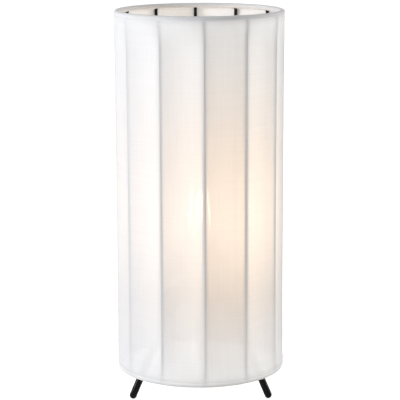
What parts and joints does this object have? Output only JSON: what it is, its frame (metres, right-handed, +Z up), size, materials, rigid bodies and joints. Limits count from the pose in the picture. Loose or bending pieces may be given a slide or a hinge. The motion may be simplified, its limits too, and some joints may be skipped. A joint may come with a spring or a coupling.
{
  "type": "table lamp",
  "caption": "Tall round fabric-shaded table lamp on short splayed rod legs, with a wire rib frame, a screw lamp holder and a screw-in filament bulb.",
  "frame": {"origin": "on the lamp's axis, at the surface it stands on", "axes": "+Z up, -Y the front as pictured, +X to the right of the front"},
  "size_m": [0.175, 0.175, 0.4],
  "materials": {
    "cloth_white": "fine plain-woven white cloth, lit from inside",
    "hem_white": "white cloth rolled tightly round the ring",
    "frame_black": "black lacquered wire",
    "gloss_black": "glossy black lacquer",
    "screw_steel": "black oxide steel",
    "zinc_steel": "zinc-plated steel",
    "nylon_black": "moulded nylon",
    "phenolic_black": "moulded thermoset plastic",
    "ceramic_ivory": "unglazed steatite",
    "brass": "rolled brass",
    "solder_grey": "dull solder",
    "insulator_black": "black vitrified insulator",
    "cap_nickel": "satin nickel",
    "bulb_glass": "clear blown glass",
    "stem_glass": "clear pressed glass",
    "filament_glow": "phosphor-coated filament, lit",
    "wire_nickel": "drawn nickel wire",
    "board_green": "printed circuit board with its parts"
  },
  "bodies": {
    "base": {"top_ring": "frame_black", "bottom_ring": "frame_black", "rib_01": "frame_black", "rib_02": "frame_black", "rib_03": "frame_black", "rib_04": "frame_black", "rib_05": "frame_black", "rib_06": "frame_black", "rib_07": "frame_black", "rib_08": "frame_black", "rib_09": "frame_black", "rib_10": "frame_black", "rib_11": "frame_black", "rib_12": "frame_black", "fabric_sleeve": "cloth_white", "top_hem": "hem_white", "bottom_hem": "hem_white", "fitter_ring": "frame_black", "spider_arm_1": "frame_black", "spider_arm_2": "frame_black", "spider_arm_3": "frame_black", "clamp_ring": "phenolic_black", "hub_plate": "gloss_black", "leg_socket_1": "gloss_black", "leg_socket_2": "gloss_black", "leg_socket_3": "gloss_black", "leg_1": "gloss_black", "leg_2": "gloss_black", "leg_3": "gloss_black", "grub_screws": "screw_steel", "threaded_nipple": "zinc_steel", "nipple_washer": "zinc_steel", "nipple_nut": "zinc_steel", "cord_bush": "nylon_black", "holder_cap": "phenolic_black", "holder_insert": "ceramic_ivory", "holder_sleeve": "phenolic_black", "screw_shell": "brass", "centre_contact": "brass", "live_terminal": "brass", "neutral_terminal": "brass", "terminal_screws": "zinc_steel"},
    "bulb_tip": {"bulb_contact": "solder_grey"},
    "bulb": {"bulb_insulator": "insulator_black", "bulb_cap": "cap_nickel", "bulb_glass": "bulb_glass", "bulb_stem": "stem_glass", "filament_1": "filament_glow", "filament_2": "filament_glow", "filament_3": "filament_glow", "filament_4": "filament_glow", "filament_star": "wire_nickel", "lead_wire_1": "wire_nickel", "lead_wire_2": "wire_nickel", "driver_board": "board_green"}
  },
  "joints": [
    {"name": "bulb_climb", "type": "slide", "parent": "base", "child": "bulb_tip", "axis": [0, 0, 1], "range_m": [0, 0.0218]},
    {"name": "bulb_turn", "type": "hinge", "parent": "bulb_tip", "child": "bulb", "pos_m": [0, 0, 0.126], "axis": [0, 0, 1], "range_deg": [0, 2160]}
  ],
  "couplings": [
    {"joint": "bulb_climb", "follows": "bulb_turn", "m_per_rad": 0.00057773}
  ]
}
